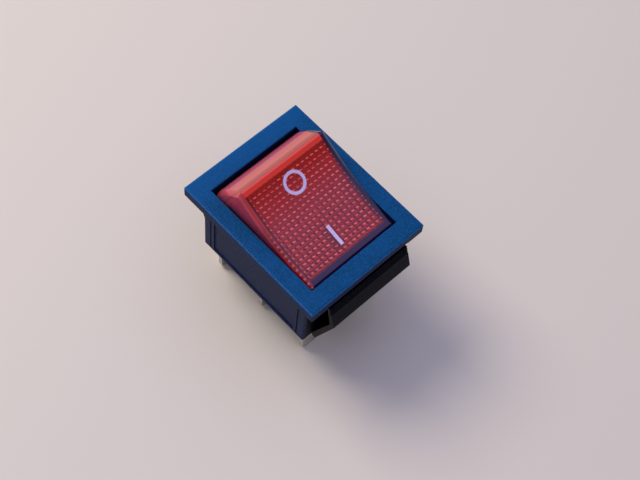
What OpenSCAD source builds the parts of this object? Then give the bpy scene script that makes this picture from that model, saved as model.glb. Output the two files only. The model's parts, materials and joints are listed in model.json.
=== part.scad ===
// Illuminated two-pole panel rocker switch with six blade terminals.
// The origin is midway between the terminals at the level of their tips.
// +X points to the I end of the rocker, which is pressed, and +Z points out of the panel.

/* [Bezel] */
// Length of the bezel along the rocker
bezel_length = 31; // [30:0.5:36]
// Width of the bezel
bezel_width = 25; // [24:0.5:30]
// Thickness of the bezel, from its top face to its seat
bezel_thickness = 2.1; // [1.6:0.1:3]
// Radius along the bezel's outer top edge
bezel_edge_radius = 0.45; // [0.2:0.05:0.6]
// Radius of the bezel's four upright corners
bezel_corner_radius = 0.35; // [0.3:0.05:2]
// Length of the window that the rocker moves in
window_length = 24.2; // [23.8:0.1:25]
// Width of the window
window_width = 18.9; // [18.4:0.1:20]
// Chamfer round the window's top edge
window_chamfer = 0.1; // [0.05:0.05:0.4]

/* [Body] */
// Distance from the bezel's top face to the underside of the body
body_depth = 17.2; // [16.8:0.1:20]
// Thickness of the two short walls
end_wall = 0.55; // [0.5:0.05:1]
// Thickness of the two long walls
side_wall = 1.225; // [1.2:0.025:2]
// Thickness of the floor that the terminals pass through
floor_thickness = 1.5; // [1.2:0.1:2]
// Radius along the lower edges of the body
body_edge_radius = 0.8; // [0.3:0.1:1.2]
// Radius of the fillet between the bezel's seat and the short walls
seat_fillet = 0.9; // [0.5:0.1:1.2]
// Width of the upright column at each end of a long wall
column_width = 1.7; // [1.2:0.1:2.5]
// Width of the slim rib beside each column
rib_width = 0.7; // [0.4:0.1:1.2]
// Width and depth of the groove between column and rib
groove_size = 0.25; // [0.15:0.05:0.4]
// Depth of the sunk panel between the ribs of a long wall
panel_recess = 0.2; // [0.1:0.05:0.4]
// Height of the plain band under the sunk panel
panel_base = 1.0; // [0.6:0.1:2]
// Thickness of the wall between the two poles
partition_wall = 1.2; // [0.8:0.1:1.6]

/* [Snap wings] */
// Width of each wing
wing_width = 17.4; // [12:0.2:19]
// Thickness of a wing's leg
wing_leg = 1.0; // [0.8:0.05:1.3]
// Thickness of a wing's upper ramp at its bulge
wing_ramp = 0.95; // [0.7:0.05:1.3]
// Thickness of a wing at its tip
wing_tip = 0.55; // [0.4:0.05:0.9]
// How far the bulge stands out from the short wall
wing_reach = 4.45; // [3:0.05:5]
// How far the tip stands out from the short wall
wing_tip_reach = 3.1; // [2:0.05:4]
// Distance from the bezel's seat down to the bulge
wing_bulge_drop = 5.1; // [3.5:0.1:6.5]
// Gap between the bezel's seat and the tip
wing_tip_gap = 0.35; // [0.3:0.05:1]
// Depth of the relief over each wing's tip, in the underside of the bezel
wing_relief = 0.25; // [0.1:0.05:0.6]
// Height of the foot where the wing grows out of the wall
wing_foot = 1.3; // [1:0.1:2]
// Number of gripping steps below the tip
wing_steps = 3; // [2:1:4]
// Height of one gripping step
wing_step_height = 0.55; // [0.4:0.05:0.6]
// Depth of one gripping step
wing_step_depth = 0.18; // [0.1:0.02:0.24]

/* [Rocker] */
// Tilt of the rocker from its middle position to either end
rocker_tilt = 22; // [20:0.5:23]
// Distance from the bezel's top face down to the rocker's pivot
pivot_drop = 4.35; // [4.1:0.05:4.6]
// Height of the middle of the rocker's top above the pivot
crown_height = 6.8; // [6.4:0.1:7.2]
// Radius of the hollow sweep of the rocker's top
scoop_radius = 37.5; // [32:0.5:50]
// Gap between the rocker and each short side of the window
rocker_end_gap = 0.2; // [0.15:0.05:0.5]
// Gap between the rocker and each long side of the window
rocker_side_gap = 0.15; // [0.15:0.05:0.5]
// Radius of the rounded edge at both ends of the rocker's top
end_edge_radius = 0.6; // [0.4:0.1:1.2]
// Radius of the rounded edges along the rocker's top
side_edge_radius = 0.8; // [0.4:0.05:0.9]
// Radius of the rocker's rounded upright edges
corner_edge_radius = 1.0; // [0.4:0.1:1.2]
// Thickness of the lens at its sides and ends
lens_wall = 1.1; // [0.9:0.05:1.2]
// Thickness of the lens at its top, over the prisms
lens_top = 1.1; // [0.9:0.05:1.3]
// Depth of the lens skirt below the pivot
skirt_drop = 3.0; // [2.6:0.1:3.1]
// Radius of the two trunnions
trunnion_radius = 1.45; // [1.2:0.05:1.7]
// Length of each trunnion outside the lens
trunnion_length = 0.7; // [0.6:0.05:1]
// Running clearance round the trunnions
trunnion_clearance = 0.05; // [0.02:0.01:0.08]

/* [Prism field] */
// Number of prisms along the rocker
prism_rows = 17; // [11:2:21]
// Number of prisms across the rocker
prism_columns = 16; // [10:2:20]
// Length of the prism field along the rocker
prism_field = 16.6; // [14:0.2:17.2]
// Height of each prism
prism_height = 0.45; // [0.2:0.05:0.45]

/* [Carrier] */
// Thickness of the carrier plate inside the rocker
carrier_thickness = 1.0; // [0.8:0.1:1.2]
// Height of the carrier plate's underside, below the pivot
carrier_drop = 0.6; // [0.4:0.1:0.8]
// Length of the carrier plate
carrier_length = 19.2; // [18:0.2:20]
// Wall of the two plunger tubes
tube_wall = 0.65; // [0.5:0.05:0.8]
// Distance from the pivot down to the tubes' mouths
tube_drop = 3.6; // [3.2:0.1:3.8]
// Height of the tubes' closed tops above the pivot
tube_rise = 2.2; // [1.8:0.1:2.4]
// Width of the catches that hold the carrier in the lens
catch_width = 2; // [1:0.1:3]
// Depth of those catches
catch_depth = 0.35; // [0.2:0.05:0.4]

/* [Plungers] */
// Radius of each plunger and of its round tip
plunger_radius = 1.2; // [1:0.05:1.3]
// Running clearance between plunger and tube
plunger_clearance = 0.05; // [0.02:0.01:0.08]
// Distance from the pivot to the plungers' tips
plunger_reach = 5.6; // [5.4:0.1:5.8]
// Length of each plunger
plunger_length = 3.4; // [3.2:0.1:3.6]
// Gap between plunger and blade in the middle of the travel
plunger_gap = 0.1; // [0.08:0.01:0.15]
// Radius of the spring wire
spring_wire = 0.15; // [0.1:0.01:0.18]
// Number of turns in each spring
spring_turns = 5; // [4:1:6]

/* [Terminals] */
// Distance between neighbouring terminals along the body
terminal_pitch = 10.6; // [10.4:0.1:10.8]
// Distance from the middle of the body to the middle of each pole
pole_offset = 5.5; // [5.2:0.1:5.6]
// Width of the terminal strip
terminal_width = 6.3; // [5.8:0.1:6.4]
// Thickness of the terminal strip
terminal_thickness = 0.8; // [0.7:0.05:0.9]
// How far the tabs stand out of the body
tab_length = 9; // [7:0.1:12]
// Length of the tapered corners at a tab's tip
tab_taper = 1.1; // [0.5:0.1:1.5]
// Radius of the hole in each tab
tab_hole_radius = 0.85; // [0.6:0.05:1.2]
// Distance from a tab's tip to the middle of its hole
tab_hole_height = 3.4; // [2.6:0.1:4]
// Bend radius inside the end terminals' angle
bend_radius = 0.4; // [0.2:0.05:0.6]

/* [Contacts] */
// Tilt of the contact blades from level to either side
blade_tilt = 9; // [8:0.5:10]
// Thickness of the blades
blade_thickness = 0.5; // [0.4:0.05:0.6]
// Width of the blades
blade_width = 4.4; // [4:0.1:4.6]
// Length of a blade's arm
blade_arm = 6.8; // [6.4:0.1:7]
// Distance from a blade's axis to the underside of its arms
arm_rise = 0.51; // [0.5:0.01:0.56]
// Clearance of the blade on the saddle of the common terminal
saddle_clearance = 0.05; // [0.02:0.01:0.08]
// Height of the saddle's two prongs above the blade's axis
prong_height = 1.6; // [1.2:0.1:1.8]
// Distance from the middle of a blade to its contacts
contact_offset = 5.6; // [5.2:0.1:5.7]
// Radius of the fixed contacts
fixed_contact_radius = 1.3; // [1:0.05:1.5]
// Height of the fixed contacts
fixed_contact_height = 0.7; // [0.5:0.05:0.8]
// Radius of the moving contacts
moving_contact_radius = 1.2; // [1:0.05:1.4]
// Height of the moving contacts
moving_contact_height = 0.6; // [0.5:0.05:0.7]
// Radius of the contacts' rivet shanks
shank_radius = 0.6; // [0.4:0.05:0.7]
// Gap left between two closed contacts
contact_gap = 0.03; // [0.02:0.01:0.1]

/* [Lamp] */
// Radius of the neon lamp's glass
lamp_radius = 1.4; // [1.2:0.05:1.5]
// Length of the glass
lamp_length = 8.5; // [7:0.1:9]
// Radius of the ballast resistor
resistor_radius = 0.8; // [0.6:0.05:1]
// Length of the ballast resistor
resistor_length = 3.6; // [3:0.1:4]
// Radius of the lead wires
lead_radius = 0.22; // [0.15:0.01:0.3]

/* [Hidden] */
$fn = 64;
// Small overlap that joins shapes of one solid
weld = 0.1;
// Factor by which a rounding's circle crosses the faces that it blends
crossing = 1.03;

// Levels above the terminals' tips
body_bottom = tab_length;
bezel_top = body_bottom + body_depth;
seat_level = bezel_top - bezel_thickness;
floor_top = body_bottom + floor_thickness;
pivot_level = bezel_top - pivot_drop;

// Outline of the body
body_length = window_length + 2 * end_wall;
body_width = window_width + 2 * side_wall;

// Rocker
rocker_radius = window_length / 2 - rocker_end_gap;
rocker_width = window_width - 2 * rocker_side_gap;
lens_inner_width = rocker_width - 2 * lens_wall;
lens_inner_radius = rocker_radius - lens_wall;
scoop_centre = crown_height + scoop_radius;
prism_base_radius = scoop_radius + lens_top;
rocker_box = 2 * rocker_radius;
flat_normal = [cos(rocker_tilt), sin(rocker_tilt)];
flat_rise = [-sin(rocker_tilt), cos(rocker_tilt)];
flat_sink = 0.02;
flat_reach = rocker_radius - flat_sink;
flat_start = sqrt(rocker_radius ^ 2 - flat_reach ^ 2) + 0.15;
edge_foot = (flat_reach - end_edge_radius) * flat_normal;
edge_across = flat_rise * (edge_foot - [0, scoop_centre]);
edge_up = -edge_across - sqrt(edge_across ^ 2 - norm(edge_foot - [0, scoop_centre]) ^ 2
    + (scoop_radius + end_edge_radius) ^ 2);
edge_centre = edge_foot + edge_up * flat_rise;

// Plungers, springs and tubes
tube_bore = plunger_radius + plunger_clearance;
tube_radius = tube_bore + tube_wall;
tube_ceiling = tube_rise - tube_wall;
plunger_top = plunger_length - plunger_reach;
carrier_bottom = -carrier_drop;
carrier_top = carrier_bottom + carrier_thickness;

// Blades and contacts
saddle_radius = terminal_thickness / 2;
blade_groove = saddle_radius + saddle_clearance;
blade_hub = arm_rise + blade_thickness / 2;
blade_level = pivot_level - plunger_reach - plunger_gap - blade_thickness - arm_rise;
moving_face_level = blade_level + arm_rise - moving_contact_height;
pad_top = moving_face_level - contact_gap - fixed_contact_height;
pad_bottom = pad_top - terminal_thickness;
pad_width = blade_width;
pad_end = contact_offset - fixed_contact_radius - 0.3;
shoulder_width = terminal_width + 0.8;
notch_clearance = 0.1;
saddle_width = blade_width - 0.7;
notch_half_length = saddle_radius + prong_height * sin(blade_tilt) + notch_clearance;

// Lamp
lamp_level = carrier_top + lamp_radius + 0.1;
lamp_start = -7.4;
lamp_end = lamp_start + lamp_length;
resistor_start = lamp_end + 1.6;
resistor_end = resistor_start + resistor_length;
resistor_level = carrier_top + resistor_radius + 0.1;
lead_spread = 0.5;
lead_tail = carrier_bottom - 0.7;

SIDES = [-1, 1];

// ---- Helpers ----

// Box centred on X and Y, standing on z
module standing_box(length, width, height, z) {
    translate([-length / 2, -width / 2, z])
        cube([length, width, height]);
}

// Plate with round upright corners
module round_plate(length, width, height, radius, z) {
    translate([0, 0, z])
        linear_extrude(height)
            union() {
                square([length - 2 * radius, width], center = true);
                square([length, width - 2 * radius], center = true);
                for (sx = SIDES, sy = SIDES)
                    translate([sx * (length / 2 - radius), sy * (width / 2 - radius)])
                        circle(radius);
            }
}

// Waste that rounds an edge along Y: the edge is at the origin, the material below and behind it
module edge_waste(length, radius) {
    rotate([90, 0, 0])
        translate([0, 0, -length / 2])
            linear_extrude(length)
                difference() {
                    translate([-radius, -radius])
                        square([radius + weld, radius + weld]);
                    translate([-radius, -radius])
                        circle(radius);
                }
}

// Turned solid along +X from an outline of [distance, radius] points
module turned(outline) {
    rotate([90, 0, 90])
        rotate_extrude()
            polygon(concat([[0, outline[0][0]]], [for (p = outline) [p[1], p[0]]],
                [[0, outline[len(outline) - 1][0]]]));
}

// Straight round wire between two points, with round ends
module wire(a, b, radius) {
    run = b - a;
    length = norm(run);
    translate(a) {
        sphere(radius);
        rotate([0, acos(run[2] / length), atan2(run[1], run[0])])
            cylinder(h = length, r = radius);
    }
    translate(b)
        sphere(radius);
}

// Puts a shape of the rocker's own frame in place: pivot at the origin, top upwards
module in_rocker() {
    translate([0, 0, pivot_level])
        rotate([0, rocker_tilt, 0])
            children();
}

// Puts a shape of a blade's own frame in place: axis of the blade at the origin
module in_blade(side) {
    translate([0, side * pole_offset, blade_level])
        rotate([0, -blade_tilt, 0])
            children();
}

// Puts a shape along one arm of a blade: arm 1 points to +X, arm -1 to -X
module on_arm(arm) {
    rotate([0, 0, arm < 0 ? 180 : 0])
        rotate([0, -blade_tilt, 0])
            children();
}

// ---- Housing ----

module bezel_plate() {
    relief_start = body_length / 2 + seat_fillet + 0.6;
    relief_width = wing_width + 0.6;
    difference() {
        round_plate(bezel_length, bezel_width, bezel_thickness, bezel_corner_radius, seat_level);
        for (s = SIDES) {
            translate([s * bezel_length / 2, 0, bezel_top])
                rotate([0, 0, s < 0 ? 180 : 0])
                    edge_waste(bezel_width + 2, bezel_edge_radius);
            translate([0, s * bezel_width / 2, bezel_top])
                rotate([0, 0, s * 90])
                    edge_waste(bezel_length + 2, bezel_edge_radius);
            translate([s > 0 ? relief_start : -bezel_length / 2 - 1, -relief_width / 2, seat_level - 1])
                cube([bezel_length / 2 + 1 - relief_start, relief_width, 1 + wing_relief]);
        }
    }
}

module body_block() {
    difference() {
        round_plate(body_length, body_width, body_depth - bezel_thickness + weld, 0.5, body_bottom);
        for (s = SIDES) {
            translate([s * body_length / 2, 0, body_bottom])
                rotate([180, 0, s < 0 ? 180 : 0])
                    edge_waste(body_width + 2, body_edge_radius);
            translate([0, s * body_width / 2, body_bottom])
                rotate([180, 0, s * 90])
                    edge_waste(body_length + 2, body_edge_radius / 2);
            side_relief(s);
        }
    }
}

// Sunk panel and the two grooves of one long wall
module side_relief(side) {
    panel_length = body_length - 2 * (column_width + groove_size + rib_width);
    panel_height = seat_level - body_bottom - panel_base;
    translate([-panel_length / 2, side > 0 ? body_width / 2 - panel_recess : -body_width / 2 - 1,
        body_bottom + panel_base])
        cube([panel_length, panel_recess + 1, panel_height]);
    for (s = SIDES)
        translate([s * (body_length / 2 - column_width - groove_size / 2) - groove_size / 2,
            side > 0 ? body_width / 2 - groove_size : -body_width / 2 - 1, body_bottom + panel_base / 2])
            cube([groove_size, groove_size + 1, panel_height]);
}

// Fillet under the bezel along one short wall
module seat_fillet_bar(side) {
    translate([side * body_length / 2, 0, seat_level])
        rotate([90, 0, 0])
            translate([0, 0, -body_width / 2 + 0.5])
                linear_extrude(body_width - 1)
                    difference() {
                        translate([side > 0 ? -weld : -seat_fillet, -seat_fillet])
                            square([seat_fillet + weld, seat_fillet + weld]);
                        translate([side * seat_fillet, -seat_fillet])
                            circle(seat_fillet);
                    }
}

// Outline of one wing in X and Z, measured from the short wall and the bezel's seat
function wing_outline() =
    let (
        foot = -(body_depth - bezel_thickness),
        bulge = [wing_reach, -wing_bulge_drop],
        tip = [wing_tip_reach, -wing_tip_gap],
        lean = (bulge - tip) / norm(bulge - tip),
        steps = [for (i = [wing_steps - 1:-1:0]) each [
            tip + lean * wing_step_height * (i + 1),
            tip + lean * wing_step_height * (i + 1) - [wing_step_depth, 0]]]
    )
    concat(
        [[-weld, foot + body_edge_radius], [0.1, foot + body_edge_radius * 0.45], [0.45, foot + 0.1],
            [0.9, foot + 0.3]],
        [bulge + [-0.15, -0.45], bulge + [0, -0.1], bulge + [-0.02, 0.3]],
        steps,
        [tip, tip + [-wing_tip, -0.25]],
        [bulge + [-wing_ramp, 0], bulge + [-wing_ramp - 0.1, -0.45]],
        [[0.9 - wing_leg + 0.55, foot + wing_foot + 0.9], [0.2, foot + wing_foot + 0.2],
            [-weld, foot + wing_foot]]
    );

module snap_wing(side) {
    translate([side * body_length / 2, 0, seat_level])
        rotate([90, 0, 0])
            translate([0, 0, -wing_width / 2])
                linear_extrude(wing_width)
                    polygon([for (p = wing_outline()) [side * p[0], p[1]]]);
}

// Blocks that carry the end terminals, and the wall between the poles
module mechanism_bed() {
    inner_length = window_length + weld;
    inner_width = window_width + weld;
    block_start = pad_end + 0.5;
    standing_box(inner_length, partition_wall, pad_top + 0.2 - body_bottom, body_bottom);
    for (s = SIDES)
        translate([s > 0 ? block_start : -inner_length / 2, -inner_width / 2, body_bottom])
            cube([inner_length / 2 - block_start, inner_width, pad_bottom - body_bottom]);
}

// Passages for the six terminals and seats for the two trunnions
module housing_passages() {
    for (side = SIDES) {
        for (x = [-terminal_pitch, 0, terminal_pitch])
            translate([x - terminal_thickness / 2, side * pole_offset - terminal_width / 2, body_bottom - 1])
                cube([terminal_thickness, terminal_width, pad_top - body_bottom + 1]);
        translate([0, side * window_width / 2, pivot_level])
            rotate([side * -90, 0, 0])
                translate([0, 0, -1])
                    cylinder(h = 1 + trunnion_length + 0.05 - rocker_side_gap,
                        r = trunnion_radius + trunnion_clearance);
        for (end = SIDES)
            translate([end * (terminal_pitch + terminal_thickness / 2), side * pole_offset, pad_bottom])
                rotate([90, 0, 0])
                    translate([0, 0, -pad_width / 2])
                        linear_extrude(pad_width)
                            square([2 * (terminal_thickness + bend_radius), 4 * bend_radius], center = true);
    }
}

module window_cut() {
    standing_box(window_length, window_width, bezel_top - floor_top + 1, floor_top);
    translate([0, 0, bezel_top - window_chamfer])
        intersection() {
            rotate([90, 0, 0])
                translate([0, 0, -window_width])
                    linear_extrude(2 * window_width)
                        polygon([[-window_length / 2, 0], [window_length / 2, 0],
                            [window_length / 2 + 2, 2], [-window_length / 2 - 2, 2]]);
            rotate([90, 0, 90])
                translate([0, 0, -window_length])
                    linear_extrude(2 * window_length)
                        polygon([[-window_width / 2, 0], [window_width / 2, 0],
                            [window_width / 2 + 2, 2], [-window_width / 2 - 2, 2]]);
        }
}

module housing() {
    color("#39435a")
        difference() {
            union() {
                difference() {
                    union() {
                        bezel_plate();
                        body_block();
                        for (s = SIDES) {
                            seat_fillet_bar(s);
                            snap_wing(s);
                        }
                    }
                    window_cut();
                }
                mechanism_bed();
            }
            housing_passages();
        }
}

// ---- Rocker lens ----

// Solid of the rocker between its side planes: end arcs about the pivot, with flats above them that
// stand upright when their end is pressed, and the hollow top
module rocker_block(width, end_radius, top_radius, drop) {
    foot = (end_radius - flat_sink) * flat_normal;
    head = foot + end_radius * flat_rise;
    rotate([90, 0, 0])
        difference() {
            intersection() {
                union() {
                    cylinder(h = width, r = end_radius, center = true);
                    linear_extrude(width, center = true)
                        polygon([foot, head, [-head[0], head[1]], [-foot[0], foot[1]]]);
                }
                translate([-rocker_box / 2, -drop, -width])
                    cube([rocker_box, drop + end_radius, 2 * width]);
            }
            translate([0, scoop_centre, 0])
                cylinder(h = 2 * width, r = top_radius, center = true, $fn = 360);
        }
}

// Waste that rounds the two top corners between the sweep and the end flats
module corner_waste(side) {
    centre = [side * edge_centre[0], edge_centre[1]];
    on_end = centre + end_edge_radius * [side * flat_normal[0], flat_normal[1]];
    on_top = centre + ([0, scoop_centre] - centre) * end_edge_radius / (scoop_radius + end_edge_radius);
    beyond = on_end + on_top - centre;
    rotate([90, 0, 0])
        difference() {
            linear_extrude(2 * rocker_width, center = true)
                polygon([centre, centre + (on_end - centre) * 1.6, centre + (beyond - centre) * 2.2,
                    centre + (on_top - centre) * 1.6]);
            translate([centre[0], centre[1], 0])
                cylinder(h = 3 * rocker_width, r = end_edge_radius * crossing, center = true);
        }
}

// Waste that rounds the long edges of the top and the side edges of the end arcs
module long_edge_waste(side) {
    edge = rocker_width / 2;
    inset = side_edge_radius;
    corner = corner_edge_radius;
    translate([0, 0, scoop_centre])
        rotate([90, 0, 0])
            rotate_extrude($fn = 360)
                difference() {
                    translate([scoop_radius - 1, side > 0 ? -edge - 1 : edge - inset])
                        square([inset + 1, inset + 1]);
                    translate([scoop_radius + inset, side > 0 ? -edge + inset : edge - inset])
                        circle(inset * crossing);
                }
    rotate([90, 0, 0])
        difference() {
            rotate_extrude()
                difference() {
                    translate([rocker_radius - corner, side > 0 ? -edge - 1 : edge - corner])
                        square([corner + 1, corner + 1]);
                    translate([rocker_radius - corner, side > 0 ? -edge + corner : edge - corner])
                        circle(corner * crossing);
                }
            above_arcs();
        }
}

// Everything above the place where the end arcs pass into the flats
module above_arcs() {
    far = flat_start * flat_rise + 2 * rocker_radius * flat_normal;
    linear_extrude(2 * rocker_width, center = true)
        polygon([[0, flat_start / cos(rocker_tilt)], far, [far[0], 4 * rocker_radius],
            [-far[0], 4 * rocker_radius], [-far[0], far[1]]]);
}

// Waste that rounds the two upright edges of one end's flat
module flat_edge_waste(end) {
    edge = rocker_width / 2;
    corner = 0.95 * corner_edge_radius;
    rotate([90, 0, 0])
        rotate([0, 0, end > 0 ? rocker_tilt : 180 - rocker_tilt])
            rotate([end * -90, 0, 0])
                translate([0, 0, flat_start])
                    linear_extrude(rocker_radius)
                        for (w = SIDES)
                            difference() {
                                translate([flat_reach - corner, w > 0 ? edge - corner : -edge - 1])
                                    square([corner + 1, corner + 1]);
                                translate([flat_reach - corner, w * (edge - corner)])
                                    circle(corner * crossing);
                            }
}

// Field of pyramids under the lens: ridges run round the sweep, cut across by straight ridges
module prism_field_block() {
    base = prism_base_radius;
    pitch = (lens_inner_width + 0.1) / prism_columns;
    edge = prism_columns * pitch / 2;
    step_angle = prism_field / prism_rows / base * 180 / PI;
    first_angle = -90 - prism_rows * step_angle / 2;
    last_angle = first_angle + prism_rows * step_angle;
    valley = base - 0.03;
    ridge = valley + prism_height;
    root = base - 0.6;
    intersection() {
        translate([0, 0, scoop_centre])
            rotate([90, 0, 0])
                rotate_extrude($fn = 360)
                    polygon(concat(
                        [[base - 0.3, edge], [base - 0.3, -edge]],
                        [for (i = [0:prism_columns - 1]) each [
                            [base, -edge + i * pitch],
                            [base + prism_height, -edge + (i + 0.5) * pitch]]],
                        [[base, edge]]));
        translate([0, 0, scoop_centre])
            rotate([90, 0, 0])
                linear_extrude(2 * edge + 1, center = true)
                    polygon(concat(
                        [root * [cos(last_angle), sin(last_angle)], root * [cos(first_angle), sin(first_angle)]],
                        [for (i = [0:prism_rows - 1]) each [
                            valley * [cos(first_angle + i * step_angle), sin(first_angle + i * step_angle)],
                            ridge * [cos(first_angle + (i + 0.5) * step_angle),
                                sin(first_angle + (i + 0.5) * step_angle)]]],
                        [valley * [cos(last_angle), sin(last_angle)]]));
    }
}

module rocker_lens() {
    color("#b3202c")
        in_rocker() {
            difference() {
                rocker_block(rocker_width, rocker_radius, scoop_radius, skirt_drop);
                rocker_block(lens_inner_width, lens_inner_radius, prism_base_radius - 0.15, skirt_drop + 1);
                for (s = SIDES) {
                    corner_waste(s);
                    long_edge_waste(s);
                    flat_edge_waste(s);
                }
            }
            prism_field_block();
            for (s = SIDES) {
                translate([0, s * (rocker_width / 2 - weld), 0])
                    rotate([s * -90, 0, 0])
                        cylinder(h = trunnion_length + weld, r = trunnion_radius);
                for (u = SIDES)
                    translate([u * carrier_length / 4 - catch_width / 2,
                        s > 0 ? lens_inner_width / 2 - catch_depth : -lens_inner_width / 2 - weld,
                        carrier_bottom - 0.5])
                        cube([catch_width, catch_depth + weld, 0.5]);
            }
        }
}

// ---- Carrier with lamp ----

module rocker_carrier() {
    color("#d9d5cb")
        in_rocker() {
            difference() {
                union() {
                    standing_box(carrier_length, lens_inner_width, carrier_thickness, carrier_bottom);
                    for (s = SIDES)
                        translate([0, s * pole_offset, -tube_drop])
                            cylinder(h = tube_drop + tube_rise, r = tube_radius);
                    for (x = [lamp_start + 1.6, lamp_end - 2.2])
                        lamp_cradle(x);
                }
                for (s = SIDES)
                    translate([0, s * pole_offset, -tube_drop - 1])
                        cylinder(h = tube_drop + 1 + tube_ceiling, r = tube_bore);
                for (p = [[lamp_end + 0.7, -lead_spread], [resistor_end + 0.8, 0]])
                    translate([p[0], p[1], carrier_bottom - 1])
                        cylinder(h = carrier_thickness + 2, r = lead_radius + 0.05);
            }
        }
}

// Upright fork that holds the lamp's glass
module lamp_cradle(x) {
    difference() {
        translate([x - 0.4, -lamp_radius - 0.6, carrier_top - weld])
            cube([0.8, 2 * lamp_radius + 1.2, lamp_radius + 0.1 + weld + 0.3]);
        translate([x, 0, lamp_level])
            rotate([0, 90, 0])
                cylinder(h = 2, r = lamp_radius + 0.02, center = true);
    }
}

module neon_lamp() {
    color("#e8c9b8", 0.6)
        in_rocker()
            translate([lamp_start, 0, lamp_level])
                turned([[-0.6, 0.12], [-0.35, 0.35], [0, 0.55], [0.3, 1.05], [0.9, lamp_radius],
                    [lamp_length - 1.6, lamp_radius], [lamp_length - 1, lamp_radius * 0.8],
                    [lamp_length, lead_spread + lead_radius + 0.2]]);
}

module ballast_resistor() {
    cap = resistor_radius;
    waist = resistor_radius * 0.82;
    color("#c8b58c")
        in_rocker()
            translate([resistor_start, 0, resistor_level])
                turned([[0, cap * 0.5], [0.2, cap * 0.9], [0.5, cap], [0.9, cap], [1.15, waist],
                    [resistor_length - 1.15, waist], [resistor_length - 0.9, cap],
                    [resistor_length - 0.5, cap], [resistor_length - 0.2, cap * 0.9],
                    [resistor_length, cap * 0.5]]);
}

// From the lamp down through the carrier plate
module lamp_lead() {
    corner = [lamp_end + 0.7, -lead_spread, lamp_level];
    color("silver")
        in_rocker() {
            wire([lamp_end + lead_radius, -lead_spread, lamp_level], corner, lead_radius);
            wire(corner, [corner[0], corner[1], lead_tail], lead_radius);
        }
}

// From the lamp to the resistor
module link_lead() {
    start = [lamp_end + lead_radius, lead_spread, lamp_level];
    corner = [lamp_end + 0.8, lead_spread, lamp_level];
    end = [resistor_start - lead_radius, 0, resistor_level];
    color("silver")
        in_rocker() {
            wire(start, corner, lead_radius);
            wire(corner, end, lead_radius);
        }
}

// From the resistor down through the carrier plate
module resistor_lead() {
    corner = [resistor_end + 0.8, 0, resistor_level];
    color("silver")
        in_rocker() {
            wire([resistor_end + lead_radius, 0, resistor_level], corner, lead_radius);
            wire(corner, [corner[0], 0, lead_tail], lead_radius);
        }
}

// ---- Plungers and springs ----

module plunger(side) {
    color("#efece2")
        in_rocker()
            translate([0, side * pole_offset, plunger_radius - plunger_reach]) {
                sphere(plunger_radius);
                cylinder(h = plunger_length - plunger_radius, r = plunger_radius);
            }
}

// Coil between the tube's ceiling and the plunger's top
module plunger_spring(side) {
    coil_radius = tube_bore - spring_wire - 0.15;
    bottom = plunger_top + spring_wire;
    top = tube_ceiling - spring_wire;
    ring_sides = 6;
    rings_per_turn = 14;
    rings = spring_turns * rings_per_turn;
    points = [for (i = [0:rings], j = [0:ring_sides - 1])
        let (
            turn = 360 * i / rings_per_turn,
            ring = 360 * (j + 0.5) / ring_sides,
            reach = coil_radius + spring_wire * cos(ring),
            rise = bottom + (top - bottom) * i / rings + spring_wire * sin(ring)
        )
        [reach * cos(turn), reach * sin(turn), rise]];
    walls = [for (i = [0:rings - 1], j = [0:ring_sides - 1])
        let (a = i * ring_sides + j, b = i * ring_sides + (j + 1) % ring_sides)
        [a, a + ring_sides, b + ring_sides, b]];
    ends = [[for (j = [0:ring_sides - 1]) j],
        [for (j = [ring_sides - 1:-1:0]) rings * ring_sides + j]];
    color("silver")
        in_rocker()
            translate([0, side * pole_offset, 0])
                polyhedron(points, concat(walls, ends), convexity = 10);
}

// ---- Contact blades ----

module blade(side) {
    color("#b98a4a")
        in_blade(side)
            difference() {
                union() {
                    for (arm = SIDES)
                        on_arm(arm)
                            translate([0, -blade_width / 2, arm_rise])
                                cube([blade_arm, blade_width, blade_thickness]);
                    rotate([90, 0, 0])
                        cylinder(h = blade_width, r = blade_hub, center = true);
                }
                rotate([90, 0, 0])
                    cylinder(h = blade_width + 2, r = blade_groove, center = true);
                translate([-blade_hub - 1, -blade_width / 2 - 1, -blade_hub - 1])
                    cube([2 * blade_hub + 2, blade_width + 2, blade_hub + 1]);
                for (s = SIDES)
                    translate([-notch_half_length, s > 0 ? saddle_width / 2 - notch_clearance
                        : -saddle_width / 2 + notch_clearance - 2, -2])
                        cube([2 * notch_half_length, 2, 6]);
                for (arm = SIDES)
                    on_arm(arm)
                        translate([contact_offset, 0, 0])
                            cylinder(h = 4, r = shank_radius + 0.02);
            }
}

module moving_contact(side, arm) {
    color("#c9c9c4")
        in_blade(side)
            on_arm(arm)
                translate([contact_offset, 0, arm_rise]) {
                    translate([0, 0, -moving_contact_height])
                        cylinder(h = moving_contact_height, r = moving_contact_radius);
                    cylinder(h = blade_thickness, r = shank_radius);
                    translate([0, 0, blade_thickness])
                        cylinder(h = 0.25, r1 = shank_radius + 0.3, r2 = shank_radius);
                }
}

module fixed_contact(side, end) {
    color("#c9c9c4")
        translate([end * contact_offset, side * pole_offset, pad_top]) {
            cylinder(h = fixed_contact_height, r = fixed_contact_radius);
            translate([0, 0, -terminal_thickness])
                cylinder(h = terminal_thickness + weld, r = shank_radius);
        }
}

// ---- Terminals ----

// Flat tab standing on its tip, with tapered corners and a wire hole
module tab(height) {
    half = terminal_width / 2;
    difference() {
        rotate([90, 0, 90])
            translate([0, 0, -terminal_thickness / 2])
                linear_extrude(terminal_thickness)
                    polygon([[-half + tab_taper, 0], [half - tab_taper, 0], [half, tab_taper * 0.8],
                        [half, height], [-half, height], [-half, tab_taper * 0.8]]);
        translate([-terminal_thickness, 0, tab_hole_height])
            rotate([0, 90, 0])
                cylinder(h = 2 * terminal_thickness, r = tab_hole_radius);
    }
}

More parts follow.
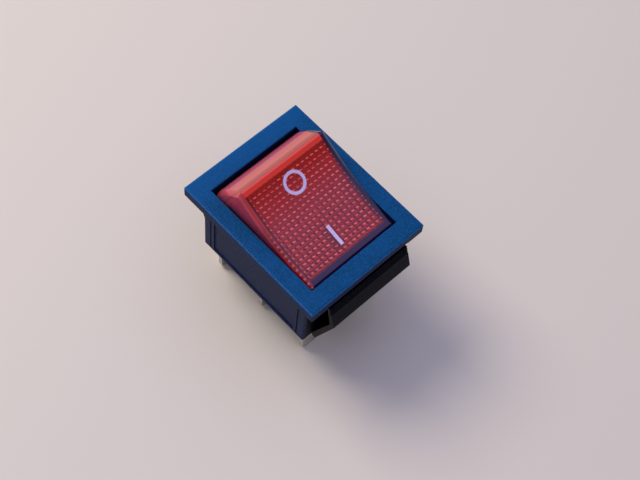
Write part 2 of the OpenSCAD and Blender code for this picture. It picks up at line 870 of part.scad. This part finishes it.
module common_terminal(side) {
    color("#d0d0cc")
        translate([0, side * pole_offset, 0]) {
            tab(floor_top + weld);
            standing_box(terminal_thickness, terminal_width, blade_level - floor_top, floor_top);
            standing_box(terminal_thickness, shoulder_width, 1, floor_top);
            translate([0, 0, blade_level])
                rotate([90, 0, 0])
                    cylinder(h = saddle_width, r = saddle_radius, center = true);
            for (s = SIDES)
                translate([-terminal_thickness / 2,
                    s > 0 ? saddle_width / 2 : -terminal_width / 2, blade_level - weld])
                    cube([terminal_thickness, (terminal_width - saddle_width) / 2, prong_height + weld]);
        }
}

module end_terminal(side, end) {
    bend = bend_radius + terminal_thickness;
    riser_top = pad_top - bend;
    color("#d0d0cc")
        translate([end * terminal_pitch, side * pole_offset, 0])
            rotate([0, 0, end > 0 ? 180 : 0]) {
                tab(riser_top);
                translate([-terminal_thickness / 2 + bend, pad_width / 2, riser_top])
                    rotate([90, 0, 0])
                        intersection() {
                            difference() {
                                cylinder(h = pad_width, r = bend);
                                translate([0, 0, -1])
                                    cylinder(h = pad_width + 2, r = bend_radius);
                            }
                            translate([-bend - 1, 0, 0])
                                cube([bend + 1, bend + 1, pad_width]);
                        }
                difference() {
                    translate([-terminal_thickness / 2 + bend, -pad_width / 2, pad_bottom])
                        cube([terminal_pitch - pad_end + terminal_thickness / 2 - bend, pad_width,
                            terminal_thickness]);
                    translate([terminal_pitch - contact_offset, 0, pad_bottom - 1])
                        cylinder(h = terminal_thickness + 2, r = shank_radius + 0.02);
                }
            }
}

housing();
rocker_lens();
rocker_carrier();
neon_lamp();
ballast_resistor();
lamp_lead();
link_lead();
resistor_lead();
plunger(-1);  // plunger_front
plunger(1);  // plunger_rear
plunger_spring(-1);  // plunger_spring_front
plunger_spring(1);  // plunger_spring_rear
blade(-1);  // blade_front
blade(1);  // blade_rear
common_terminal(-1);  // common_terminal_front
common_terminal(1);  // common_terminal_rear
end_terminal(-1, -1);  // o_terminal_front
end_terminal(1, -1);  // o_terminal_rear
end_terminal(-1, 1);  // i_terminal_front
end_terminal(1, 1);  // i_terminal_rear
fixed_contact(-1, -1);  // o_fixed_contact_front
fixed_contact(1, -1);  // o_fixed_contact_rear
fixed_contact(-1, 1);  // i_fixed_contact_front
fixed_contact(1, 1);  // i_fixed_contact_rear
moving_contact(-1, -1);  // o_moving_contact_front
moving_contact(1, -1);  // o_moving_contact_rear
moving_contact(-1, 1);  // i_moving_contact_front
moving_contact(1, 1);  // i_moving_contact_rear
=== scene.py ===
"""Illuminated panel rocker switch: finishes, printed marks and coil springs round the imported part.

Lengths are in metres, in the part's own frame: the origin is between the tips of the terminals,
+X runs from the O end to the I end, and +Z is up. Finishes work in millimetres.
"""

import json
import math
from contextlib import contextmanager

import bpy
from mathutils import Matrix, Quaternion, Vector


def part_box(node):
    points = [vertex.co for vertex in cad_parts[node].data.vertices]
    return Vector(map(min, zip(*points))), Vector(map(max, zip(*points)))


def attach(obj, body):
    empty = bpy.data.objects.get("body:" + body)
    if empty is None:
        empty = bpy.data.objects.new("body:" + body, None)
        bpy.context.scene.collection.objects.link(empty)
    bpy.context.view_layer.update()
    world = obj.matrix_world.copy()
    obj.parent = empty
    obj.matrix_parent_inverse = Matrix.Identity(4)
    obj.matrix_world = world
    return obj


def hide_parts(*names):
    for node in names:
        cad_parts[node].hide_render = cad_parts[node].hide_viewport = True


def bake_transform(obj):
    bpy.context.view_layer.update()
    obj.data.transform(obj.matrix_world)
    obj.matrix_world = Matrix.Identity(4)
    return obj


MM = 0.001
BOTH = ("front", "rear")
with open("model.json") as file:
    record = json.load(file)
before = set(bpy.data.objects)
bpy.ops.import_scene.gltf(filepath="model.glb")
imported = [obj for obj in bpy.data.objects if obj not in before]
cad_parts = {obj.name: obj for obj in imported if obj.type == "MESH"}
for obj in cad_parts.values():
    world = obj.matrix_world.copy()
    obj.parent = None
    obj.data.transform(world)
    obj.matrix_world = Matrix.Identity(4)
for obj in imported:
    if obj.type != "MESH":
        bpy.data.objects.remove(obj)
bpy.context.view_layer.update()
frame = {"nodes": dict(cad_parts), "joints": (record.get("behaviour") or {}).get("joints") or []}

# ---- Sizes that the part was built with ----

BEZEL_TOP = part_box("housing")[1].z
BEZEL_THICKNESS = 2.1 * MM
PIVOT = Vector(next(j for j in frame["joints"] if j["name"] == "rocker_pivot")["pos_m"])
TILT = math.radians(22)
SCOOP_RADIUS = 37.5 * MM
CROWN_HEIGHT = 6.8 * MM
SCOOP_CENTRE = CROWN_HEIGHT + SCOOP_RADIUS
LENS_TOP = 1.1 * MM
PRISM_ROWS, FIELD_LENGTH = 17, 16.6 * MM
PRISM_COLUMNS, FIELD_WIDTH = 16, 16.5 * MM

# ---- Shader maths ----


def colour(*screen):
    """A colour given as screen values from 0 to 255 for red, green and blue."""
    shares = [value / 255 for value in screen]
    linear = [((s + 0.055) / 1.055) ** 2.4 if s > 0.04045 else s / 12.92 for s in shares]
    return (*linear, 1)


class Value:
    """A shader socket that can stand in a Python expression."""

    def __init__(self, graph, socket):
        self.graph = graph
        self.socket = socket

    def maths(self, operation, *others):
        return self.graph.node("Math", {"operation": operation}, dict(enumerate((self, *others))))

    def __add__(self, other):
        return self.maths("ADD", other)

    def __sub__(self, other):
        return self.maths("SUBTRACT", other)

    def __mul__(self, other):
        return self.maths("MULTIPLY", other)

    def __truediv__(self, other):
        return self.maths("DIVIDE", other)

    def __rsub__(self, other):
        return self.graph.node("Math", {"operation": "SUBTRACT"}, {0: other, 1: self})

    __radd__ = __add__

    def power(self, exponent):
        return self.maths("POWER", exponent)

    def absolute(self):
        return self.maths("ABSOLUTE")

    def most(self, other):
        return self.maths("MAXIMUM", other)

    def ramp(self, start, end):
        """0 up to start and 1 from end, with a smooth rise between them."""
        inputs = {"Value": self, "From Min": start, "From Max": end}
        return self.graph.node("MapRange", {"interpolation_type": "SMOOTHSTEP"}, inputs)

    def beyond(self, edge, blur):
        """1 beyond the edge and 0 before it, with a smooth rise from `blur` before to after."""
        return self.ramp(edge - blur, edge + blur)

    def before(self, edge, blur):
        """1 before the edge and 0 beyond it, with a smooth fall from `blur` before to after."""
        return 1 - self.beyond(edge, blur)

    def stripe(self, centre, core, reach):
        """1 within `core` of the centre, fading to 0 at `reach` from it."""
        return 1 - (self - centre).absolute().ramp(core, reach)

    def cell(self):
        """Place from -0.5 to 0.5 in cells one unit long, centred on the whole numbers."""
        return (self + 0.5).maths("FRACT") - 0.5


class Graph:
    """A node tree that is filled from expressions."""

    def __init__(self, tree):
        self.tree = tree

    def node(self, kind, settings, inputs, output=0):
        """Adds a node, sets its settings, then fills its sockets with values or links."""
        node = self.tree.nodes.new("ShaderNode" + kind)
        for name, value in settings.items():
            if name == "stops":
                self.fill_ramp(node.color_ramp, value)
            else:
                setattr(node, name, value)
        for name, value in inputs.items():
            self.feed(node.inputs[name], value)
        return Value(self, node.outputs[output])

    def fill_ramp(self, ramp, stops):
        while len(ramp.elements) < len(stops):
            ramp.elements.new(0.5)
        for element, (place, shade) in zip(ramp.elements, stops):
            element.position = place
            element.color = shade

    def feed(self, socket, value):
        if isinstance(value, Value):
            self.tree.links.new(value.socket, socket)
        else:
            socket.default_value = value

    def fill(self, node, sockets):
        """Feeds sockets that are named with underscores for spaces."""
        for name, value in sockets.items():
            self.feed(node.inputs[name.replace("_", " ")], value)

    def axes(self, place):
        split = self.tree.nodes.new("ShaderNodeSeparateXYZ")
        self.feed(split.inputs[0], place)
        return [Value(self, output) for output in split.outputs]

    def noise(self, place, scale, detail=2.0, roughness=0.5, stretch=(1, 1, 1)):
        """Noise from 0 to 1, with about `scale` lumps to the millimetre."""
        stretched = self.node("VectorMath", {"operation": "MULTIPLY"}, {0: place, 1: stretch})
        inputs = {"Vector": stretched, "Scale": scale, "Detail": detail, "Roughness": roughness}
        return self.node("TexNoise", {}, inputs, "Fac")

    def mix(self, factor, a, b):
        return self.node("Mix", {"data_type": "RGBA"}, {0: factor, 6: a, 7: b}, 2)


class Finish(Graph):
    """A material whose principled shader is fed by a few expressions."""

    def __init__(self, name, **sockets):
        self.material = bpy.data.materials.new(name)
        self.material.use_nodes = True
        super().__init__(self.material.node_tree)
        self.shader = self.tree.nodes["Principled BSDF"]
        self.set(**sockets)

    def set(self, **sockets):
        self.fill(self.shader, sockets)

    def place(self):
        """Object coordinates in millimetres."""
        coordinates = self.node("TexCoord", {}, {}, "Object")
        return self.node("VectorMath", {"operation": "SCALE"}, {0: coordinates, "Scale": 1 / MM})

    def blend_in(self, factor, **sockets):
        """Mixes a second principled shader over the first one, by a factor that may vary."""
        other = self.tree.nodes.new("ShaderNodeBsdfPrincipled")
        self.fill(other, sockets)
        mixer = self.tree.nodes.new("ShaderNodeMixShader")
        self.feed(mixer.inputs[0], factor)
        self.tree.links.new(self.shader.outputs[0], mixer.inputs[1])
        self.tree.links.new(other.outputs[0], mixer.inputs[2])
        surface = self.tree.nodes["Material Output"].inputs["Surface"]
        self.tree.links.new(mixer.outputs[0], surface)

    def bump(self, height, strength, distance):
        """Turns a height from 0 to 1 into relief `distance` millimetres deep."""
        inputs = {"Height": height, "Strength": strength, "Distance": distance * MM}
        self.set(Normal=self.node("Bump", {}, inputs))

    def put_on(self, *nodes):
        for name in nodes:
            mesh = frame["nodes"][name].data
            mesh.materials.clear()
            mesh.materials.append(self.material)


# ---- Finishes ----


def housing_plastic():
    """Black nylon under a painted sky reflection: blue on the bezel's face, navy on its skirt and
    long walls, none on the near black wings.
    """
    # Heights are from the bezel's top, and walls and ends are placed from the middle
    wall_start = 10.35
    bezel_foot = -BEZEL_THICKNESS / MM - 0.02
    face_foot = -0.28
    rim_foot, rim_head = -0.38, -0.075
    o_end = -15.5

    finish = Finish("housing_plastic", IOR=1.5, Specular_IOR_Level=0.1)
    place = finish.place()
    x, y, z = finish.axes(place)
    height = z - BEZEL_TOP / MM
    grain = finish.noise(place, 4.6, 3.0, 0.7)
    erosion = finish.noise(place, 2.2, 3.0, 0.6)
    cloud = finish.noise(place, 0.35, 2.0)
    speck = finish.noise(place, 9.0, 1.0, 0.4).ramp(0.72, 0.8)
    # The long walls are mottled more coarsely than the bezel and carry a painted bluish reflection,
    # bluer towards the bezel.
    # The wings, and all else between the long walls, are plain and darker, with no painted
    # reflection
    walls = finish.mix(erosion.ramp(0.36, 0.64), colour(6, 22, 52), colour(20, 40, 82))
    walls = finish.mix(height.ramp(-7.5, -3.5) * 0.4, walls, colour(8, 38, 80))
    sides = finish.mix(y.absolute().beyond(wall_start, 0.15), colour(0, 2, 12), walls)
    # The bezel's skirt is navy: a painted reflection over the black
    band = finish.mix(grain.ramp(0.34, 0.66), colour(2, 24, 54), colour(12, 40, 80))
    sides = finish.mix(height.beyond(bezel_foot, 0.02), sides, band)
    # The bezel's face is blue: a painted reflection of the sky over the black
    blue = finish.mix(grain.ramp(0.34, 0.66), colour(0, 54, 94), colour(0, 80, 128))
    blue = finish.mix(cloud.ramp(0.35, 0.75) * 0.4, blue, colour(6, 76, 130))
    # Painted light: the face is paler towards the O end, which lies nearer the lamp
    blue = finish.mix((1 - x.ramp(o_end, o_end + 6.5)) * 0.5, blue, colour(2, 86, 144))
    # The rounded top edge of the bezel gets a painted pale highlight, broken up by the grain
    rim_highlight = height.beyond(rim_foot, 0.08) * height.before(rim_head, 0.045)
    blue = finish.mix(rim_highlight * grain.ramp(0.3, 0.6) * 0.55, blue, colour(62, 124, 190))
    blue = finish.mix(speck * 0.5, blue, colour(130, 180, 220))
    finish.set(Base_Color=finish.mix(height.beyond(face_foot, 0.14), sides, blue))
    finish.set(Roughness=grain * 0.2 + 0.4 + cloud * 0.06)
    finish.bump(grain, 0.35, 0.03)
    finish.put_on("housing")


def lens_plastic():
    """Clear red polycarbonate under a diffuse layer of painted light: a painted glow in its walls
    and ends, where light from the edges comes out.

    Places are in the rocker's own axes. `along` runs from the O end to the I end, with 0 at the
    pivot, and `up` is square to it. The near long side is at -Y and the far one at +Y. `depth` is
    how far a point lies under the hollow top.
    """
    field_start, field_end = -8.4, 8.34
    field_near, field_far = -8.2, 8.2
    flat_start, crease = -9.35, -9.9
    near_wall, edge_shadow_y, glint_line = -8.55, -8.33, -8.85
    edge_shadow_reach = 8.25
    fade_start = -6.0
    # The depths where the outer face and the rounding of its long edges end
    skin, rounding = 0.4, 0.85
    row_angle = FIELD_LENGTH / PRISM_ROWS / (SCOOP_RADIUS + LENS_TOP)
    column_pitch = FIELD_WIDTH / PRISM_COLUMNS / MM

    finish = Finish(
        "lens_plastic",
        Base_Color=colour(244, 60, 48),
        Roughness=0.03,
        IOR=1.55,
        Transmission_Weight=1.0,
    )
    place = finish.place()
    x, y, z = finish.axes(place)
    pivot = PIVOT / MM
    along = (x - pivot.x) * math.cos(TILT) - (z - pivot.z) * math.sin(TILT)
    up = (x - pivot.x) * math.sin(TILT) + (z - pivot.z) * math.cos(TILT)
    fall = SCOOP_CENTRE / MM - up
    depth = (along * along + fall * fall).power(0.5) - SCOOP_RADIUS / MM
    towards_i = along.ramp(fade_start, 3.0)

    # Beyond the field of prisms, in painted light and shade: the raised end, the pressed end and the
    # wall on each long side
    far = y.beyond(field_far, 0.08)
    short_of_far = 1 - far
    lip = along.before(field_start, 0.2) * short_of_far
    flat = along.before(flat_start, 0.35)
    near = y.before(near_wall, 0.15)
    dark = far.most(along.beyond(field_end, 0.08))
    # Painted glow: the field is a brighter orange red towards the raised O end, where light comes in
    # through the end
    shade = finish.mix(towards_i, colour(252, 30, 14), colour(224, 40, 50))
    # Painted shade and sky reflection: the far strip and the pressed end are dark purple
    shade = finish.mix(dark, shade, colour(46, 10, 60))
    # Painted glow: the lip before the field is bright red orange
    shade = finish.mix(lip, shade, colour(255, 62, 44))
    # Painted light and shade on the raised end's flat: coral, with a darker brownish band along its
    # rounded crease
    flank = finish.mix(along.ramp(-11.4, -10.2), colour(198, 80, 88), colour(218, 90, 78))
    flank = finish.mix(along.stripe(crease, 0.0, 0.45) * 0.85, flank, colour(146, 50, 40))
    shade = finish.mix(flat * short_of_far, shade, flank)
    height = (z - BEZEL_TOP / MM).ramp(-0.5, 3.5)
    # Painted light and shade on the near wall: pale pink at the top, dark red at the foot, deeper
    # red towards the I end
    wall = finish.mix(height, colour(96, 12, 30), colour(204, 60, 74))
    wall = finish.mix(towards_i, wall, colour(150, 8, 24))
    shade = finish.mix(near * (1 - flat * 0.4), shade, wall)
    # How much of the painted layer of light and shade covers the clear red
    painted_layer_share = (dark * 0.76).most(lip * 0.9).most(near * 0.75)
    painted_layer_share = painted_layer_share.most((1 - along.ramp(fade_start, 2.0)) * 0.22 + 0.12)

    # Painted glints as short pale strokes, and painted shadows, one to a prism's pitch, drawn on the
    # smooth outer face.
    # Each stroke lies on the ridge line of a row, over the valley between two columns
    row = (along.maths("ARCTAN2", fall) / row_angle).cell()
    column = (y / column_pitch).cell()
    across = y.beyond(field_near, 0.1) * short_of_far
    inside = across * along.beyond(field_start, 0.2) * along.before(field_end, 0.08)
    inside = inside * depth.before(skin, 0.1)
    shadow = row.absolute().ramp(0.28, 0.46) * column.stripe(0, 0.22, 0.46) * inside
    shade = finish.mix(shadow * 0.8, shade, colour(100, 8, 20))
    # A painted shadow line between the field and the near wall, and painted glints beside it
    painted_edge_shadow = y.stripe(edge_shadow_y, 0.07, 0.2) * along.absolute().before(edge_shadow_reach, 0.15)
    shade = finish.mix(painted_edge_shadow, shade, colour(60, 4, 10))
    stroke = (row - column * 0.12).stripe(0, 0.03, 0.17) * column.stripe(0, 0.16, 0.42) * inside
    stroke = stroke * (finish.noise(place, 0.9).ramp(0.32, 0.62) * 0.4 + 0.5)
    glint = row.stripe(0, 0.06, 0.3) * y.stripe(glint_line, 0.08, 0.3)
    glint = glint * along.ramp(-3.0, 1.0) * depth.before(rounding, 0.15)
    stroke = stroke.most(glint * 0.55)
    shade = finish.mix(stroke, shade, colour(255, 138, 122))
    painted_layer_share = painted_layer_share.most(stroke).most(painted_edge_shadow * 0.95).most(shadow * 0.5)
    # The painted layer of light and shade, mixed over the clear red
    finish.blend_in(painted_layer_share, Base_Color=shade, Roughness=0.12, IOR=1.55)
    finish.put_on("rocker_lens")


def carrier_plastic():
    finish = Finish("carrier_plastic", IOR=1.5)
    place = finish.place()
    grain = finish.noise(place, 4.0, 3.0)
    cloud = finish.noise(place, 0.4)
    finish.set(Base_Color=finish.mix(cloud, colour(70, 66, 60), colour(84, 80, 74)))
    finish.set(Roughness=grain * 0.2 + 0.4)
    finish.bump(grain, 0.2, 0.02)
    finish.put_on("rocker_carrier")


def lamp_glass():
    finish = Finish("lamp_glass", Roughness=0.02, IOR=1.5, Transmission_Weight=0.9)
    streak = finish.noise(finish.place(), 0.8, 2.0, 0.5, (0.3, 2, 2))
    finish.set(Base_Color=finish.mix(streak, colour(238, 214, 200), colour(252, 243, 238)))
    finish.put_on("neon_lamp")


def resistor_body():
    """Lacquer with four colour bands."""
    finish = Finish("resistor_body", Roughness=0.3)
    place = finish.place()
    y = finish.axes(place)[1]
    low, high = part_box("ballast_resistor")
    along = (y - low.y / MM) / ((high.y - low.y) / MM)
    shade = finish.mix(finish.noise(place, 2.0), colour(196, 168, 120), colour(214, 190, 146))
    bands = (
        (0.2, colour(120, 60, 20)),
        (0.36, colour(20, 20, 20)),
        (0.52, colour(230, 190, 40)),
        (0.78, colour(170, 130, 60)),
    )
    for centre, paint in bands:
        shade = finish.mix(along.stripe(centre, 0.035, 0.05), shade, paint)
    finish.set(Base_Color=shade)
    finish.put_on("ballast_resistor")


def metal(name, nodes, roughness, dark, light, stretch=(6, 6, 0.3)):
    """Metal whose colour and gloss drift, with fine scratches along the axis of least stretch."""
    finish = Finish(name, Metallic=1.0)
    place = finish.place()
    cloud = finish.noise(place, 0.7, 3.0)
    scratches = finish.noise(place, 2.2, 3.0, 0.6, stretch)
    finish.set(Base_Color=finish.mix(cloud.ramp(0.3, 0.7), colour(*dark), colour(*light)))
    finish.set(Roughness=roughness + scratches * 0.18 + cloud * 0.06)
    finish.bump(scratches, 0.15, 0.012)
    finish.put_on(*nodes)


def metals():
    leads = ("lamp_lead", "link_lead", "resistor_lead")
    coils = [f"plunger_spring_{side}" for side in BOTH]
    blades = [f"blade_{side}" for side in BOTH]
    terminals = [f"{name}_terminal_{side}" for name in ("o", "common", "i") for side in BOTH]
    kinds = [f"{end}_{kind}" for end in "oi" for kind in ("fixed", "moving")]
    contacts = [f"{kind}_contact_{side}" for kind in kinds for side in BOTH]
    metal("tinned_wire", leads, 0.3, (178, 178, 176), (206, 206, 204))
    metal("spring_steel", coils, 0.24, (150, 152, 156), (184, 186, 190))
    metal("blade_bronze", blades, 0.26, (188, 128, 76), (214, 156, 98), stretch=(0.3, 6, 6))
    metal("tinned_brass", terminals, 0.27, (182, 180, 174), (204, 203, 198))
    metal("contact_silver", contacts, 0.18, (206, 206, 202), (230, 229, 225), stretch=(5, 5, 5))


def plunger_plastic():
    finish = Finish("plunger_plastic")
    cloud = finish.noise(finish.place(), 0.9)
    finish.set(Base_Color=finish.mix(cloud, colour(218, 214, 202), colour(234, 232, 224)))
    finish.set(Roughness=0.26 + cloud * 0.12)
    finish.put_on(*[f"plunger_{side}" for side in BOTH])


def mark_ink():
    """Pad-printed white ink, a little uneven, painted pale lavender for the bluish skylight on it.
    """
    finish = Finish("mark_ink")
    speck = finish.noise(finish.place(), 3.5, 3.0, 0.6)
    shade = finish.mix(speck.ramp(0.3, 0.7), colour(204, 178, 216), colour(222, 200, 234))
    finish.set(Base_Color=shade, Roughness=0.38 + speck * 0.2)
    return finish


# ---- Camera, light and floor ----


def put_in_scene(name, data, matrix):
    piece = bpy.data.objects.new(name, data)
    bpy.context.scene.collection.objects.link(piece)
    piece.matrix_world = matrix
    return piece


def camera():
    place = Vector((76.22, -85.69, 229.61)) * MM
    aim = Vector((6.32, -2.29, 26.2)) * MM
    roll = Quaternion((0, 0, 1), math.radians(7.86))
    data = bpy.data.cameras.new("camera")
    data.sensor_width = 36
    data.lens = 80.5
    data.clip_start = 0.01
    data.clip_end = 20
    level = (aim - place).to_track_quat("-Z", "Y")
    turn = (level @ roll).to_matrix().to_4x4()
    bpy.context.scene.camera = put_in_scene("camera", data, Matrix.Translation(place) @ turn)


def key_lamp():
    """A large warm lamp, high on the O side."""
    centre = Vector((0, 0, 0.015))
    towards = Vector((-1.0, -0.25, 1.25)).normalized()
    distance = 0.6
    data = bpy.data.lights.new("key_lamp", "AREA")
    data.shape = "DISK"
    data.size = 0.32
    data.energy = 2.2
    data.color = (1.0, 0.97, 0.93)
    turn = (-towards).to_track_quat("-Z", "Y").to_matrix().to_4x4()
    put_in_scene("key_lamp", data, Matrix.Translation(centre + towards * distance) @ turn)


def dome():
    """A pale studio: a bright bluish ceiling, dim half way up, pale again at the horizon."""
    world = bpy.data.worlds.new("studio")
    bpy.context.scene.world = world
    world.use_nodes = True
    graph = Graph(world.node_tree)
    z = graph.axes(graph.node("TexCoord", {}, {}, "Generated"))[2]
    stops = (
        (0.0, (0.78, 0.77, 0.76, 1)),
        (0.16, (0.62, 0.61, 0.62, 1)),
        (0.34, (0.20, 0.20, 0.22, 1)),
        (0.66, (0.20, 0.20, 0.24, 1)),
        (0.84, (0.60, 0.66, 1.20, 1)),
    )
    shade = graph.node("ValToRGB", {"stops": stops}, {0: z})
    graph.feed(world.node_tree.nodes["Background"].inputs["Color"], shade)


def floor():
    bpy.ops.mesh.primitive_plane_add(size=6)
    slab = bpy.context.object
    slab.name = "floor"
    finish = Finish("floor_paper", Base_Color=colour(226, 212, 190), Roughness=0.7)
    slab.data.materials.append(finish.material)


# ---- Mesh editing ----


@contextmanager
def editing(piece):
    """Edit mode on one piece, with its whole mesh selected."""
    bpy.ops.object.select_all(action="DESELECT")
    piece.select_set(True)
    bpy.context.view_layer.objects.active = piece
    bpy.ops.object.mode_set(mode="EDIT")
    bpy.ops.mesh.select_all(action="SELECT")
    yield
    bpy.ops.object.mode_set(mode="OBJECT")


def smooth():
    """Smooths the active piece's faces where they meet at a shallow angle."""
    bpy.ops.object.shade_smooth_by_angle(angle=math.radians(40))


# ---- Printed marks ----

# The ink is this thick, and this much of it is sunk in the lens
INK_FILM = 0.03 * MM
INK_SINK = 0.01 * MM


def on_scoop(x, y, lift):
    """Moves a point of the level, centred drawing of a mark onto the rocker's hollow top."""
    angle = x / SCOOP_RADIUS
    radius = SCOOP_RADIUS - lift
    local = Vector((radius * math.sin(angle), y, SCOOP_CENTRE - radius * math.cos(angle)))
    return PIVOT + Matrix.Rotation(TILT, 3, "Y") @ local


def lay_on_scoop(mark, body, finish):
    for vertex in mark.data.vertices:
        vertex.co = on_scoop(*vertex.co)
    mark.data.materials.append(finish.material)
    with editing(mark):
        bpy.ops.mesh.normals_make_consistent(inside=False)
    smooth()
    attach(mark, body)


def thicken():
    """Extrudes the selected faces to the thickness of the ink."""
    bpy.ops.mesh.extrude_region_move(TRANSFORM_OT_translate={"value": (0, 0, INK_FILM)})


def mark_o(ink):
    """O: a ring, from a circle that is extruded inwards and then up."""
    centre = (-5.65 * MM, 0, -INK_SINK)
    radius, stroke = 2.05 * MM, 0.55 * MM
    inner = 1 - stroke / radius
    bpy.ops.mesh.primitive_circle_add(vertices=72, radius=radius, location=centre)
    ring = bpy.context.object
    ring.name = "mark_o"
    bpy.ops.object.transform_apply(location=True)
    with editing(ring):
        bpy.ops.mesh.extrude_region_move()
        bpy.ops.transform.resize(value=(inner, inner, 1), center_override=centre)
        bpy.ops.mesh.select_all(action="SELECT")
        thicken()
    lay_on_scoop(ring, "rocker", ink)


def mark_i(ink):
    """I: a bar that runs along the rocker."""
    bpy.ops.mesh.primitive_plane_add(size=1, location=(5.05 * MM, 0, -INK_SINK))
    bar = bpy.context.object
    bar.name = "mark_i"
    bar.scale = (3.9 * MM, 0.62 * MM, 1)
    bpy.ops.object.transform_apply(location=True, scale=True)
    with editing(bar):
        bpy.ops.mesh.subdivide(number_cuts=15)
        thicken()
    lay_on_scoop(bar, "rocker", ink)


# ---- Springs ----


def springs():
    """Coil springs, each from the carrier to its plunger: merged, smoothed copies of the part's
    springs, which are hidden.
    """
    for side in BOTH:
        node = frame["nodes"][f"plunger_spring_{side}"]
        piece = put_in_scene(f"coil_spring_{side}", node.data.copy(), Matrix())
        with editing(piece):
            bpy.ops.mesh.remove_doubles(threshold=0.002 * MM)
        smooth()
        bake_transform(piece)
        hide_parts(node.name)


# ---- The scene ----

camera()
floor()
dome()
key_lamp()
housing_plastic()
lens_plastic()
carrier_plastic()
lamp_glass()
resistor_body()
metals()
plunger_plastic()
ink = mark_ink()
mark_o(ink)
mark_i(ink)
springs()
bpy.context.scene.view_settings.view_transform = "Standard"
